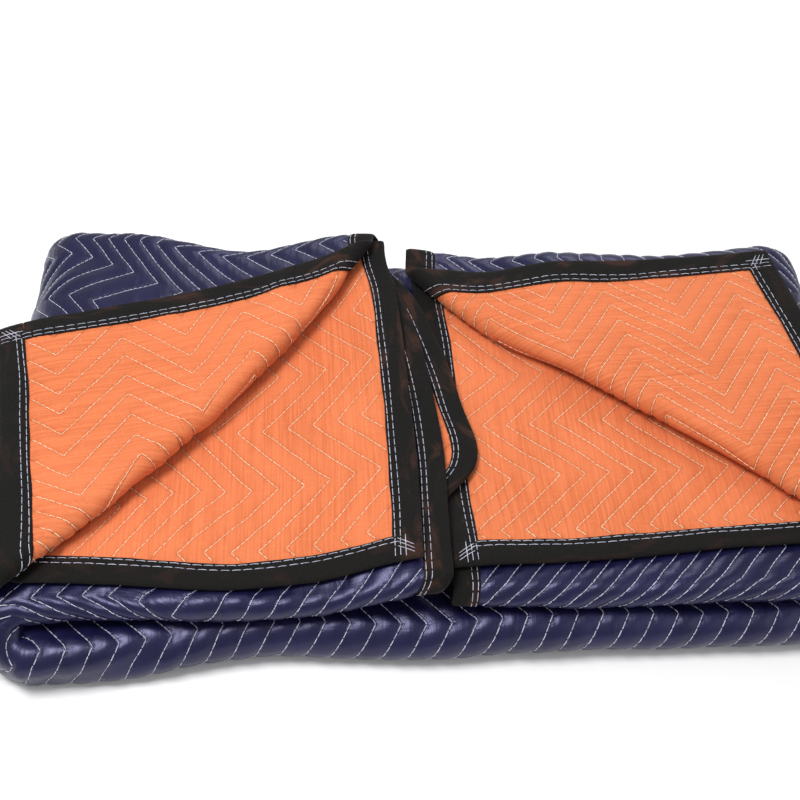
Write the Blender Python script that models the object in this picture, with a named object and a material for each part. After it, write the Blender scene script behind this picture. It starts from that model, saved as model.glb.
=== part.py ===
"""A quilted moving blanket, folded as it lies on a shelf.

The blanket is 1.83 m by 2.03 m: a navy face panel and an orange backing panel, quilted together
and bound on all four edges. It is folded back and forth into four layers, then both ends are
brought over on top until they meet, and the free top corner of each end is turned back.

Flat coordinates: u runs from end to end, v from the first bound edge to the last, so that
v counts up through the layers: outer, lower, middle and upper. World coordinates: x to the
right, y to the back, z up, in metres, with the origin under the middle of the folded stack.
"""

import bmesh
import bpy
import numpy as np
from mathutils import Vector
from mathutils.geometry import delaunay_2d_cdt

MM = 0.001

# The flat blanket and its edges.
BLANKET_LENGTH = 1.83
BINDING_WIDTH = 28 * MM
BINDING_SHEET = 1.1 * MM
BINDING_ROOM = 0.7 * MM  # between the binding and the panels' pressed edges
PANEL_GAP = 0.3 * MM
PAD_HALF = 2.8 * MM
EDGE_HALF = PAD_HALF - BINDING_SHEET - BINDING_ROOM
PAD_EDGE = 1.4 * MM  # the panels stop this far inside the binding's fold
EDGE_INSIDES = (PAD_EDGE, BINDING_WIDTH)

# The four layers' distances from the level where the ends close on the middle.
LEVELS = {"lower": 7 * MM, "middle": 21 * MM, "upper": 35.5 * MM, "outer": 50 * MM}
END_TURN = 0.415  # where each end starts to turn over, from the middle of the blanket
MID_HEIGHT = LEVELS["outer"] + PAD_HALF

# Where v passes from each layer to the next turn.
OUTER_V = 0.465
BACK_V = OUTER_V + np.pi / 2 * (LEVELS["outer"] - LEVELS["lower"])
LOWER_V = BACK_V + 0.48
FRONT_V = LOWER_V + 0.046
MIDDLE_V = FRONT_V + 0.485
INNER_V = MIDDLE_V + np.pi / 2 * (LEVELS["upper"] - LEVELS["middle"])
BLANKET_WIDTH = INNER_V + 0.465

# The c coordinate runs from -1 to 1 over u: the middle, the end's turn, and the end.
TURN_START_C = 0.45
TURN_END_C = 0.55

# The stack's front and back, by x: the bound edge, the two front folds, and the back fold.
FOLD_LINES = np.array(
    [
        # x, bound edge y, end fold y, middle fold y, back fold y
        (-0.47, 0.004, -0.014, -0.050, 0.510),
        (-0.34, 0.000, -0.011, -0.044, 0.492),
        (-0.20, -0.012, -0.016, -0.020, 0.458),
        (-0.02, 0.004, -0.008, -0.028, 0.482),
        (0.13, 0.008, -0.014, -0.022, 0.448),
        (0.28, 0.020, -0.012, -0.024, 0.432),
        (0.47, 0.026, -0.010, -0.020, 0.456),
    ]
)
HIDDEN_EDGE_Y = 0.045  # the bound edges under the stack are set back this far

# How far each layer of an end reaches past the middle (x), by y from front to back.
REACH_Y = np.array([-0.02, 0.03, 0.07, 0.14, 0.23, 0.33, 0.40, 0.45, 0.50])
LEFT_REACH = {
    "outer": np.array([-16, -20, -24, -30, -38, -46, -52, -56, -58]) * MM,
    "lower": np.array([-4, -4, -4, 45, 35, 14, -10, -38, -48]) * MM,
    "middle": np.array([12, 11, 11, 12, 5, -9, -27, -40, -44]) * MM,
    "upper": np.array([-17, -17, -17, -18, -22, -27, -33, -42, -44]) * MM,
}
RIGHT_REACH = {
    "outer": np.array([-28, -27, -26, -25, -24, -22, -19, -16, -13]) * MM,
    "lower": np.array([12, 11, 10, 8, 6, 2, -3, -8, -13]) * MM,
    "middle": np.array([14, 13, 11, 8, 6, 2, -3, -8, -13]) * MM,
    "upper": np.array([14, 12, 10, 6, 4, 1, -4, -8, -13]) * MM,
}
# The layers' levels near the middle, where the left end lies on the right one: inside, at front.
LEFT_CLOSE = {"lower": (33.5, 28), "middle": (42.5, 50), "upper": (52, 60), "outer": (61.5, 69)}
RIGHT_CLOSE = {"lower": (4.5, 5), "middle": (13.5, 30), "upper": (22.5, 40), "outer": (31.5, 49)}
LEFT_ZONE = (-0.13, -0.008)
RIGHT_ZONE = (0.17, 0.06)
FRONT_BAND = (0.12, 0.015)  # the layers part for the front fold's roll between these y
FRONT_LEVELS = {"lower": 5 * MM, "middle": 30.2 * MM, "upper": 39.5 * MM, "outer": 50 * MM}
UNDER_LEVEL = LEVELS["outer"]

# The turned-back corners: the fold line from the back to the front, its bow, and its roll.
FLAPS = {
    -1: {"back": (-0.060, 0.482), "front": (-0.430, -0.004), "bow": 0.024, "wave": 0.0, "edge": -0.018},
    1: {"back": (-0.022, 0.461), "front": (0.462, -0.014), "bow": 0.006, "wave": 0.012, "edge": -0.014},
}
ROLL_LEAST = 7 * MM
ROLL_SWELL = 4 * MM
ROLL_STEP = 4.2 * MM
ROLL_TURNS = (-0.3, 0.3, 0.9, 1.5, 2.1, 2.7, 3.4)
ROLL_SHARES = (0, 0.09, 0.18, 0.27, 0.36, 0.46, 0.56, 0.66, 0.74, 0.81, 0.87, 0.92, 0.96, 1)
SLANT_FADE = 60 * MM
SLANT_START = 25 * MM
FLAP_LEVEL = 9.5 * MM
FLAP_SETTLE = 0.07
FLAP_STIFFNESS = 25  # how much straighter a flap lies over the turned end than the layer below

# The stack's slight unevenness, none at the bottom.
RUMPLE = 2.0 * MM

# The middle of the folded stack, which becomes the origin.
STACK_MIDDLE = (-0.0126, 0.2269)

LAYERS = ("outer", "lower", "middle", "upper")


def ease(value, start, end):
    """0 before start, 1 after end, and a smooth step between."""
    t = np.clip((value - start) / (end - start), 0, 1)
    return t * t * (3 - 2 * t)


def smooth_through(x, xs, ys):
    """A smooth curve through a short table."""
    slope = np.gradient(ys, xs)
    x = np.clip(x, xs[0], xs[-1])
    i = np.clip(np.searchsorted(xs, x) - 1, 0, len(xs) - 2)
    width = xs[i + 1] - xs[i]
    t = (x - xs[i]) / width
    start = ys[i] * (1 + 2 * t) * (1 - t) ** 2 + slope[i] * width * t * (1 - t) ** 2
    return start + ys[i + 1] * (3 - 2 * t) * t**2 + slope[i + 1] * width * (t - 1) * t**2


def side_position(c):
    """The side (-1 or 1), and the shares along the middle, the turn and the end."""
    side = np.where(c < 0, -1.0, 1.0)
    reach = np.abs(c)
    middle = np.minimum(reach / TURN_START_C, 1)
    turn = np.clip((reach - TURN_START_C) / (TURN_END_C - TURN_START_C), 0, 1)
    end = np.maximum((reach - TURN_END_C) / (1 - TURN_END_C), 0)
    return side, middle, turn, end


def level(layer, y, turn):
    """A layer's distance from the closing level: evenly spaced inside, parted at the front."""
    front = 1 - ease(y, FRONT_BAND[1], FRONT_BAND[0])
    at_end = LEVELS[layer] + (FRONT_LEVELS[layer] - LEVELS[layer]) * front
    if layer != "middle":
        return at_end
    # Under the stack the front fold drops to the surface, past the bound edges.
    dropped = 1 - ease(y, -0.015, HIDDEN_EDGE_Y - 0.006)
    at_middle = at_end + (UNDER_LEVEL - at_end) * dropped
    return at_middle + (at_end - at_middle) * turn


def back_line(rough_x):
    """The y of the back fold."""
    return smooth_through(rough_x, FOLD_LINES[:, 0], FOLD_LINES[:, 4])


def layer_places(v, outer_edge, turn, rough_x):
    """The y of each layer at v, as if it ran on past its turns, and the y of both folds."""
    lines = [smooth_through(rough_x, FOLD_LINES[:, 0], FOLD_LINES[:, k]) for k in (1, 2, 3)]
    back_y = back_line(rough_x)
    fold_y = lines[2] + (lines[1] - lines[2]) * turn
    edge_y = {
        "outer": HIDDEN_EDGE_Y + (outer_edge - HIDDEN_EDGE_Y) * turn,
        "upper": HIDDEN_EDGE_Y + (lines[0] - HIDDEN_EDGE_Y) * turn,
    }
    outer_y = edge_y["outer"] + (back_y - edge_y["outer"]) * v / OUTER_V
    lower_y = back_y + (fold_y - back_y) * (v - BACK_V) / (LOWER_V - BACK_V)
    middle_y = fold_y + (back_y - fold_y) * (v - FRONT_V) / (MIDDLE_V - FRONT_V)
    upper_span = (v - INNER_V) / (BLANKET_WIDTH - INNER_V)
    upper_y = back_y + (edge_y["upper"] - back_y) * upper_span
    ys = {"outer": outer_y, "lower": lower_y, "middle": middle_y, "upper": upper_y}
    return ys, fold_y, back_y


def end_height(layer, side, x, y, flat_level):
    """The level of an end's layer, changed near the middle where one end lies on the other."""
    front = 1 - ease(y, FRONT_BAND[1], FRONT_BAND[0])
    left = (LEFT_CLOSE[layer][0] + (LEFT_CLOSE[layer][1] - LEFT_CLOSE[layer][0]) * front) * MM
    right = (RIGHT_CLOSE[layer][0] + (RIGHT_CLOSE[layer][1] - RIGHT_CLOSE[layer][0]) * front) * MM
    near_left = ease(x, *LEFT_ZONE)
    near_right = ease(-x, -RIGHT_ZONE[0], -RIGHT_ZONE[1])
    close = np.where(side < 0, left, right)
    near = np.where(side < 0, near_left, near_right)
    return flat_level + (close - flat_level) * near


def fold_line(sign):
    """A turned-back corner's fold line: its start, its direction, its length, and across it."""
    back, front = np.array(FLAPS[sign]["back"]), np.array(FLAPS[sign]["front"])
    length = np.linalg.norm(front - back)
    along = (front - back) / length
    return back, along, length, np.array([-sign * abs(along[1]), -abs(along[0])])


def roll_radius(share):
    """The radius of the roll along the fold line, by the share of its length."""
    return ROLL_LEAST + ROLL_SWELL * np.sin(np.pi * np.clip(share, 0.05, 0.95))


def fold_bow(sign, share):
    """How far the fold line bows and waves across, by the share of its length."""
    share = np.clip(share, 0, 1)
    flap = FLAPS[sign]
    return flap["bow"] * np.sin(np.pi * share) + flap["wave"] * np.sin(2 * np.pi * share)


def past_fold(sign, x, y):
    """How far a place on the outer layer lies past the fold line, and the roll's radius there."""
    back, along, length, across = fold_line(sign)
    share = ((x - back[0]) * along[0] + (y - back[1]) * along[1]) / length
    past = (x - back[0]) * across[0] + (y - back[1]) * across[1] - fold_bow(sign, share)
    return past, roll_radius(share)


def turned_back(side, x, y):
    """Turns a corner of the outer layer back over the fold line: its place and its height."""
    height = np.zeros_like(x)
    for sign in FLAPS:
        across = fold_line(sign)[3]
        past, radius = past_fold(sign, x, y)
        turn = np.clip(past / radius, 0, np.pi)
        beyond = np.maximum(past - np.pi * radius, 0)
        shift = radius * np.sin(turn) - beyond - past
        settle = 1 - np.exp(-beyond / FLAP_SETTLE)
        rise = radius * (1 - np.cos(turn)) + (FLAP_LEVEL - 2 * radius) * settle
        here = (side == sign) & (past > 0)
        x = np.where(here, x + across[0] * shift, x)
        y = np.where(here, y + across[1] * shift, y)
        height = np.where(here, rise, height)
    return x, y, height


def rumple(x, y):
    """A low wave over the stack."""
    return RUMPLE * (
        np.sin(11 * x + 5 * y + 0.7) * np.cos(9 * y - 3 * x) + 0.5 * np.sin(23 * x - 8 * y)
    )


def mid_surface(c, v):
    """The middle of the quilted pad at (c, v), in world coordinates."""
    c, v = np.broadcast_arrays(np.asarray(c, float), np.asarray(v, float))
    side, middle, turn, end = side_position(c)
    reach = side * np.where(turn < 1, END_TURN * middle, END_TURN * (1 - end))
    edge = np.where(side < 0, FLAPS[-1]["edge"], FLAPS[1]["edge"])
    ys, fold_y, back_y = layer_places(v, edge, turn, reach)

    def placed(layer, y):
        base = level(layer, y, turn)
        tip = np.where(
            side < 0,
            smooth_through(y, REACH_Y, LEFT_REACH[layer]),
            smooth_through(y, REACH_Y, RIGHT_REACH[layer]),
        )
        x_end = side * END_TURN + (tip - side * END_TURN) * end
        height = end_height(layer, side, x_end, y, base)
        return base, x_end, height

    def joined(first, second, y, start, stop, bulge):
        """Half a turn from one layer to the next, about the y of the turn."""
        angle = np.pi * np.clip((v - start) / (stop - start), 0, 1)
        share = (1 - np.cos(angle)) / 2
        parts = [a + (b - a) * share for a, b in zip(placed(first, y), placed(second, y))]
        gap = [np.abs(b - a) / 2 for a, b in zip(placed(first, y), placed(second, y))]
        base_out, height_out = bulge * gap[0] * np.sin(angle), bulge * gap[2] * np.sin(angle)
        out = np.where(turn < 1, base_out, base_out + (height_out - base_out) * ease(end, 0, 0.2))
        return y + out, *parts

    back = joined("outer", "lower", back_y, OUTER_V, BACK_V, 1)
    front = joined("lower", "middle", fold_y, LOWER_V, FRONT_V, -1)
    inner = joined("middle", "upper", back_y, MIDDLE_V, INNER_V, 1)
    flat = {layer: (ys[layer], *placed(layer, ys[layer])) for layer in LAYERS}
    pieces = (flat["outer"], back, flat["lower"], front, flat["middle"], inner, flat["upper"])
    starts = (OUTER_V, BACK_V, LOWER_V, FRONT_V, MIDDLE_V, INNER_V)
    y, base, x_end, height = (
        np.select([v < s for s in starts], [p[k] for p in pieces[:-1]], pieces[-1][k])
        for k in range(4)
    )

    # The end turns over through half a circle about the closing level.
    angle = np.pi * turn
    x = np.where(turn > 0, side * (END_TURN + base * np.sin(angle)), side * END_TURN * middle)
    z = -base * np.cos(angle)
    x = np.where(end > 0, x_end, x)
    z = np.where(end > 0, height, z)

    # The outer layer's corner turns back; x runs on round the end's turn as if that were flat.
    flat_x = np.where(turn < 1, side * (END_TURN + (np.pi - angle) * base), x)
    upper_half = (v < OUTER_V) & (turn > 0.5)
    flap_x, flap_y, rise = turned_back(side, flat_x, y)
    over = np.abs(flap_x) - END_TURN
    bend = base + FLAP_STIFFNESS * rise
    bent = np.clip(over / bend, 0, np.pi)
    side_x = side * (END_TURN + bend * np.sin(bent))
    side_z = base + rise - bend * (1 - np.cos(bent))
    top_z = end_height("outer", side, flap_x, flap_y, base) + rise
    x = np.where(upper_half, np.where(over > 0, side_x, flap_x), x)
    z = np.where(upper_half, np.where(over > 0, side_z, top_z), z)
    y = np.where(upper_half, flap_y, y)

    z = z + MID_HEIGHT
    z = z + rumple(x, y) * np.clip((z - PAD_HALF) / MID_HEIGHT / 2, 0, 1)
    return np.stack([x - STACK_MIDDLE[0], y - STACK_MIDDLE[1], z], axis=-1)


def pad_surface(c, v, offset):
    """The pad's surface at an offset from its middle, which is positive towards the navy face."""
    step = 1e-4
    along_c = mid_surface(c + step, v) - mid_surface(c - step, v)
    along_v = mid_surface(c, v + step) - mid_surface(c, v - step)
    normal = np.cross(along_v, along_c)
    normal /= np.linalg.norm(normal, axis=-1, keepdims=True)
    return mid_surface(c, v) + normal * np.asarray(offset)[..., None]


def end_length(v):
    """The flat length of an end past its turn, at v."""
    table_v = [0, OUTER_V, BACK_V, LOWER_V, FRONT_V, MIDDLE_V, INNER_V, BLANKET_WIDTH]
    levels = [LEVELS[k] for k in ("outer", "outer", "lower", "lower", "middle", "middle", "upper")]
    base = np.interp(v, table_v, [*levels, LEVELS["upper"]])
    return BLANKET_LENGTH / 2 - END_TURN - np.pi * base


def edge_distance(c, v):
    """How far inside the blanket's nearest edge a place lies."""
    from_end = (1 - np.abs(c)) / (1 - TURN_END_C) * end_length(v)
    return np.minimum(np.minimum(from_end, v), BLANKET_WIDTH - v)


def half_thickness(c, v):
    """Half the pad's thickness, less under the binding."""
    return np.where(edge_distance(c, v) < BINDING_WIDTH + 0.5 * MM, EDGE_HALF, PAD_HALF)


def c_inside(v, distance):
    """The c of a place that far inside the bound end."""
    return 1 - distance / end_length(v) * (1 - TURN_END_C)


def outer_tip(sign, y):
    """The x of the outer layer's bound end."""
    reach = LEFT_REACH if sign < 0 else RIGHT_REACH
    return float(smooth_through(np.array([y]), REACH_Y, reach["outer"])[0])


def outer_c(sign, x, y):
    """The plan's c, without its side, of a place on an end's outer layer before its corner turns."""
    end = (x - sign * END_TURN) / (outer_tip(sign, y) - sign * END_TURN)
    if end >= 0:
        return TURN_END_C + (1 - TURN_END_C) * end
    turned = 1 - (abs(x) - END_TURN) / (np.pi * LEVELS["outer"])
    return TURN_START_C + (TURN_END_C - TURN_START_C) * turned


def outer_x(sign, c):
    """The x of a place on the outer layer's bound front edge, from its c without a side."""
    if c >= TURN_END_C:
        end = (c - TURN_END_C) / (1 - TURN_END_C)
        return sign * END_TURN + (outer_tip(sign, 0) - sign * END_TURN) * end
    turned = (c - TURN_START_C) / (TURN_END_C - TURN_START_C)
    return sign * (END_TURN + (1 - turned) * np.pi * LEVELS["outer"])


def outer_v(sign, x, y):
    """The plan's v of a place on an end's outer layer before its corner turns."""
    edge = FLAPS[sign]["edge"]
    end = (x - sign * END_TURN) / (outer_tip(sign, y) - sign * END_TURN)
    back_y = float(back_line(sign * END_TURN * (1 - max(end, 0))))
    return (y - edge) / (back_y - edge) * OUTER_V


def crossing(sign, along_end):
    """Where a corner's roll crosses a bound edge: the place along it, the roll's width, its slant."""
    if along_end:
        places = np.linspace(float(back_line(0.0)), 0.25, 400)
        past, radius = past_fold(sign, np.full(400, outer_tip(sign, places[0])), places)
    else:
        places = sign * np.linspace(0.492, 0.25, 400)
        past, radius = past_fold(sign, places, np.full(400, FLAPS[sign]["edge"]))
    start, stop = np.interp([0, np.pi * radius[0]], past, places)
    middle = (start + stop) / 2
    x, y = (outer_tip(sign, middle), middle) if along_end else (middle, FLAPS[sign]["edge"])
    here = past_fold(sign, x, y)[0]
    by_x = (past_fold(sign, x + MM, y)[0] - here) / MM
    by_y = (past_fold(sign, x, y + MM)[0] - here) / MM
    slant = -sign * by_x / by_y if along_end else -by_y / by_x
    return start, stop, slant


def slanted_v(sign, v, inside):
    """A bound end's row at a distance inside the edge: it slants along the roll where that crosses."""
    start, stop, slant = crossing(sign, True)
    tip = outer_tip(sign, start)
    first, last = outer_v(sign, tip, stop), outer_v(sign, tip, start)
    near = ease(v, first - SLANT_FADE, first) * (1 - ease(v, last, OUTER_V + 4 * MM))
    return v + slant * near * inside


def slanted_c(c, inside):
    """A long edge's column at a distance inside the first edge, slanting along the roll."""
    sign = -1 if c < 0 else 1
    if abs(c) < TURN_START_C:
        return c
    start, stop, slant = crossing(sign, False)
    x = outer_x(sign, abs(c))
    near = ease(sign * x, sign * stop - SLANT_FADE, sign * stop)
    near *= 1 - ease(sign * x, sign * start, sign * start + SLANT_START)
    return sign * outer_c(sign, x + slant * near * inside, 0)


def roll_columns(sign):
    """The columns where the first bound edge passes round a corner's roll."""
    start, stop, _ = crossing(sign, False)
    steps = int(abs(start - stop) / ROLL_STEP) + 1
    places = [start + (stop - start) * k / steps for k in range(-5, steps + 2)]
    return sorted(outer_c(sign, x, 0) for x in places)


def roll_rows(sign):
    """The rows where a bound end passes round its corner's roll."""
    start, stop, _ = crossing(sign, True)
    steps = int(abs(start - stop) / ROLL_STEP) + 1
    places = [start + (stop - start) * k / steps for k in range(steps + 2)]
    return sorted(outer_v(sign, outer_tip(sign, y), y) for y in places)


def rows_of_v():
    """The rows across v between the bindings, close together round the turns."""
    spans = (
        (BINDING_WIDTH, OUTER_V, 6),
        (OUTER_V, BACK_V, 6),
        (BACK_V, LOWER_V - 0.13, 2),
        (LOWER_V - 0.13, LOWER_V, 3),
        (LOWER_V, FRONT_V, 6),
        (FRONT_V, FRONT_V + 0.13, 4),
        (FRONT_V + 0.13, MIDDLE_V, 2),
        (MIDDLE_V, INNER_V, 5),
        (INNER_V, BLANKET_WIDTH - BINDING_WIDTH - 0.13, 4),
        (BLANKET_WIDTH - BINDING_WIDTH - 0.13, BLANKET_WIDTH - BINDING_WIDTH, 3),
    )
    rows = []
    for start, stop, count in spans:
        rows += [start + (stop - start) * k / count for k in range(count)]
    return rows[1:]


def merged(coarse, fine, least):
    """Two sorted lists of places as one, without the coarse ones that lie near a fine one."""
    kept = [a for a in coarse if all(abs(a - b) > least for b in fine)]
    return sorted([*kept, *fine])


def end_rows(sign):
    """The rows at a bound end: those of the panel, and those round its corner's roll."""
    fan = [BACK_V + (LOWER_V - BACK_V) * k / 11 for k in range(1, 11)]
    fan += [FRONT_V + (MIDDLE_V - FRONT_V) * k / 9 for k in range(1, 9)]
    rows = merged(rows_of_v(), fan, 10 * MM)
    rows = merged(rows, roll_rows(sign), 3 * MM)
    return [BINDING_WIDTH, *rows, BLANKET_WIDTH - BINDING_WIDTH]


def columns_of_c():
    """The columns along c from the middle to one end's binding."""
    middle = [TURN_START_C * k / 3 for k in range(3)]
    turn = [TURN_START_C + (TURN_END_C - TURN_START_C) * k / 5 for k in range(5)]
    shares = (0, 0.22, 0.45, 0.66, 0.8, 0.9)
    return middle + turn + [TURN_END_C + (1 - TURN_END_C) * share for share in shares]


def edge_columns(v_edge):
    """The columns at a bound long edge, from end to end but for the bound ends themselves."""
    rolls = [roll_columns(sign) if v_edge == 0 else [] for sign in (-1, 1)]
    corner = c_inside(v_edge, BINDING_WIDTH)
    left, right = ([*merged(columns_of_c(), roll, 3 * MM), corner] for roll in rolls)
    return [-c for c in reversed(left)][:-1] + right


def edge_loop(inside):
    """The closed loop of plan places at a distance inside the blanket's edge, by its four sides."""
    low, high = inside, BLANKET_WIDTH - inside
    first = [(slanted_c(c, inside), low) for c in edge_columns(0)]
    last = [(c, high) for c in edge_columns(BLANKET_WIDTH)]
    ends = {}
    for sign in (-1, 1):
        rows = [slanted_v(sign, v, inside) for v in end_rows(sign)]
        ends[sign] = [(sign * c_inside(v, inside), v) for v in rows]
        first.insert(0 if sign < 0 else len(first), (sign * c_inside(low, inside), low))
        last.insert(0 if sign < 0 else len(last), (sign * c_inside(high, inside), high))
    return first + ends[1] + last[::-1] + ends[-1][::-1]


def flap_places(sign):
    """Places on the outer layer along the fold line of a turned-back corner, for its roll."""
    back, along, length, across = fold_line(sign)
    found = {}
    for k, share in enumerate(ROLL_SHARES):
        for step, turn in enumerate(ROLL_TURNS):
            past = fold_bow(sign, share) + roll_radius(share) * turn
            x, y = back + along * length * share + across * past
            c, v = outer_c(sign, x, y), outer_v(sign, x, y)
            clear = BINDING_WIDTH + 5 * MM
            if clear < v < OUTER_V - 4 * MM and c < c_inside(v, clear):
                found[(sign, k, step)] = (sign * c, v)
    return found


def panel_plan():
    """The flat plan of a panel: its points (c, v) and triangles."""
    loops = [edge_loop(inside) for inside in EDGE_INSIDES]
    size = len(loops[0])
    places = flap_places(-1) | flap_places(1)
    rolls = np.array(list(places.values()))
    field = []
    for v in rows_of_v():
        for c in [-c for c in reversed(columns_of_c())][:-1] + columns_of_c():
            if np.hypot(1.4 * (rolls[:, 0] - c), rolls[:, 1] - v).min() > 0.016:
                field.append((c, v))
    points = sum(loops, []) + field + [tuple(p) for p in rolls]
    lines = [(start + k, start + (k + 1) % size) for start in (0, size) for k in range(size)]
    lines += [(k, k + size) for k in range(size)]
    # Each place of the border is split as the binding's is, so that the two lie parallel.
    for k in range(size):
        after = (k + 1) % size
        low, high = (k, after) if sum(points[k]) < sum(points[after]) else (after, k)
        lines.append((low, high + size))
    number = {mark: len(points) - len(rolls) + k for k, mark in enumerate(places)}
    for sign, k, step in places:
        for mark in ((sign, k + 1, step), (sign, k, step + 1)):
            if mark in number:
                lines.append((number[(sign, k, step)], number[mark]))
    found = delaunay_2d_cdt([Vector(p) for p in points], lines, [], 1, 1e-7)
    return np.array([tuple(p) for p in found[0]]), found[2]


def mesh_object(name, points, faces, material):
    """A closed mesh object with its faces pointing outwards."""
    body = bmesh.new()
    corners = [body.verts.new(p) for p in points]
    for face in faces:
        body.faces.new([corners[k] for k in face])
    bmesh.ops.recalc_face_normals(body, faces=body.faces)
    if body.calc_volume(signed=True) < 0:
        bmesh.ops.reverse_faces(body, faces=body.faces)
    mesh = bpy.data.meshes.new(name)
    body.to_mesh(mesh)
    body.free()
    mesh.shade_smooth()
    mesh.materials.append(material)
    piece = bpy.data.objects.new(name, mesh)
    bpy.context.collection.objects.link(piece)
    return piece


def rim_of(faces):
    """The border edges of a sheet's faces, in the faces' own direction."""
    ends = {(face[k], face[(k + 1) % len(face)]) for face in faces for k in range(len(face))}
    return [(a, b) for a, b in ends if (b, a) not in ends]


def panel(name, plan, faces, sign, material):
    """One cloth panel of the pad, a closed sheet on the navy (1) or the orange (-1) side."""
    outside = half_thickness(plan[:, 0], plan[:, 1])
    outer = pad_surface(plan[:, 0], plan[:, 1], sign * outside)
    inner = pad_surface(plan[:, 0], plan[:, 1], np.full(len(plan), sign * PANEL_GAP / 2))
    count = len(plan)
    points = np.concatenate([outer, inner])
    closed = [tuple(face) for face in faces]
    closed += [tuple(k + count for k in reversed(face)) for face in faces]
    closed += [(b, a, a + count, b + count) for a, b in rim_of(faces)]
    return mesh_object(name, points, closed, material)


def binding(name, stations, place, material):
    """A binding folded over a bound edge, swept along it as one closed sheet."""
    sheet = BINDING_SHEET
    outer, inner = PAD_HALF, PAD_HALF - sheet
    insides = [PAD_EDGE, BINDING_WIDTH - PANEL_GAP]
    # Each place is a distance inside the edge and an offset from the pad's middle.
    section = [(inside, outer) for inside in reversed(insides)]
    section += [(-sheet, 0.9 * MM), (-sheet, -0.9 * MM)]
    section += [(inside, -outer) for inside in insides]
    insides[0] -= BINDING_ROOM
    section += [(inside, -inner) for inside in reversed(insides)]
    section += [(inside, inner) for inside in insides]
    rings = []
    for station in stations:
        flat = np.array([place(station, distance) for distance, _ in section])
        rings.append(pad_surface(flat[:, 0], flat[:, 1], np.array([n for _, n in section])))
    size = len(section)
    points = np.concatenate(rings)
    faces = [tuple(range(size)), tuple(range(len(points) - 1, len(points) - size - 1, -1))]
    for k in range(len(rings) - 1):
        for j in range(size):
            a, b = k * size + j, k * size + (j + 1) % size
            if section[a % size][0] < section[b % size][0]:
                faces += [(b, a, b + size), (a, a + size, b + size)]
            else:
                faces += [(b, a, a + size), (b, a + size, b + size)]
    return mesh_object(name, points, faces, material)


def long_stations(v_edge):
    """The stations of a long edge's binding, which runs past both ends by its own thickness."""
    ends = [c_inside(v_edge, distance) for distance in (PAD_EDGE, -BINDING_SHEET)]
    return [-ends[1], -ends[0], *edge_columns(v_edge), *ends]


def make_material(name, colour, roughness):
    material = bpy.data.materials.new(name)
    material.use_nodes = True
    shader = material.node_tree.nodes["Principled BSDF"]
    shader.inputs["Base Color"].default_value = (*colour, 1)
    shader.inputs["Roughness"].default_value = roughness
    shader.inputs["Metallic"].default_value = 0
    return material


def main():
    for old in list(bpy.data.objects):
        bpy.data.objects.remove(old)
    navy = make_material("navy_cloth", (0.022, 0.020, 0.075), 0.45)
    orange = make_material("orange_cloth", (0.80, 0.25, 0.07), 0.70)
    black = make_material("binding_cloth", (0.012, 0.011, 0.011), 0.75)

    plan, faces = panel_plan()
    panel("navy_face_panel", plan, faces, 1, navy)
    panel("orange_backing_panel", plan, faces, -1, orange)

    long_edges = {"first_edge_binding": 0, "last_edge_binding": BLANKET_WIDTH}
    for name, v_edge in long_edges.items():
        inward = 1 if v_edge == 0 else -1
        stations = long_stations(v_edge)

        def place(c, distance, v_edge=v_edge, inward=inward):
            return slanted_c(c, distance) if inward > 0 else c, v_edge + inward * distance

        binding(name, stations, place, black)

    clear = BINDING_WIDTH + PANEL_GAP
    for name, sign in {"left_end_binding": -1, "right_end_binding": 1}.items():

        def place(v, distance, sign=sign):
            v = slanted_v(sign, v, distance)
            return sign * c_inside(v, distance), v

        rows = end_rows(sign)[1:-1]
        binding(name, [clear, *rows, BLANKET_WIDTH - clear], place, black)


main()
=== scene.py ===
"""A quilted moving blanket, folded as it lies on a shelf: its cloth, bindings, thread and light."""

import bmesh
import bpy
import numpy as np
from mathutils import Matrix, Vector


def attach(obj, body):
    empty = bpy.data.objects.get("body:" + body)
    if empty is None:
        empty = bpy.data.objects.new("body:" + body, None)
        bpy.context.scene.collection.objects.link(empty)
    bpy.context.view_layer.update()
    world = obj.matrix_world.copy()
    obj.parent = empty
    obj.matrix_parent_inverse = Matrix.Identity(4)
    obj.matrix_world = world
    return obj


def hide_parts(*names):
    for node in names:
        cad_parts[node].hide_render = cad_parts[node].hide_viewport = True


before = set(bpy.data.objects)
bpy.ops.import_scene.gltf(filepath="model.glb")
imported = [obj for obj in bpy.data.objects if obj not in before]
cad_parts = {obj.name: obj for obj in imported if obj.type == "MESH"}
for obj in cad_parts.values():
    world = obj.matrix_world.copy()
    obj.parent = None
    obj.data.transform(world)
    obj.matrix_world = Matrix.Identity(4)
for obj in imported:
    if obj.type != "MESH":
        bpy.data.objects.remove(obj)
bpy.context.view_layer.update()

MM = 0.001

# The flat blanket and its edges.
BLANKET_LENGTH = 1.83
BINDING_WIDTH = 28 * MM
BINDING_SHEET = 1.1 * MM
PAD_HALF = 2.8 * MM
PAD_EDGE = 1.4 * MM  # the panels stop this far inside the binding's fold

# The four layers' distances from the level where the ends close on the middle.
LEVELS = {"lower": 7 * MM, "middle": 21 * MM, "upper": 35.5 * MM, "outer": 50 * MM}
END_TURN = 0.415  # where each end starts to turn over, from the middle of the blanket
MID_HEIGHT = LEVELS["outer"] + PAD_HALF

# Where v passes from each layer to the next turn.
OUTER_V = 0.465
BACK_V = OUTER_V + np.pi / 2 * (LEVELS["outer"] - LEVELS["lower"])
LOWER_V = BACK_V + 0.48
FRONT_V = LOWER_V + 0.046
MIDDLE_V = FRONT_V + 0.485
INNER_V = MIDDLE_V + np.pi / 2 * (LEVELS["upper"] - LEVELS["middle"])
BLANKET_WIDTH = INNER_V + 0.465

# The c coordinate runs from -1 to 1 over u: the middle, the end's turn, and the end.
TURN_START_C = 0.45
TURN_END_C = 0.55

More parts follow.
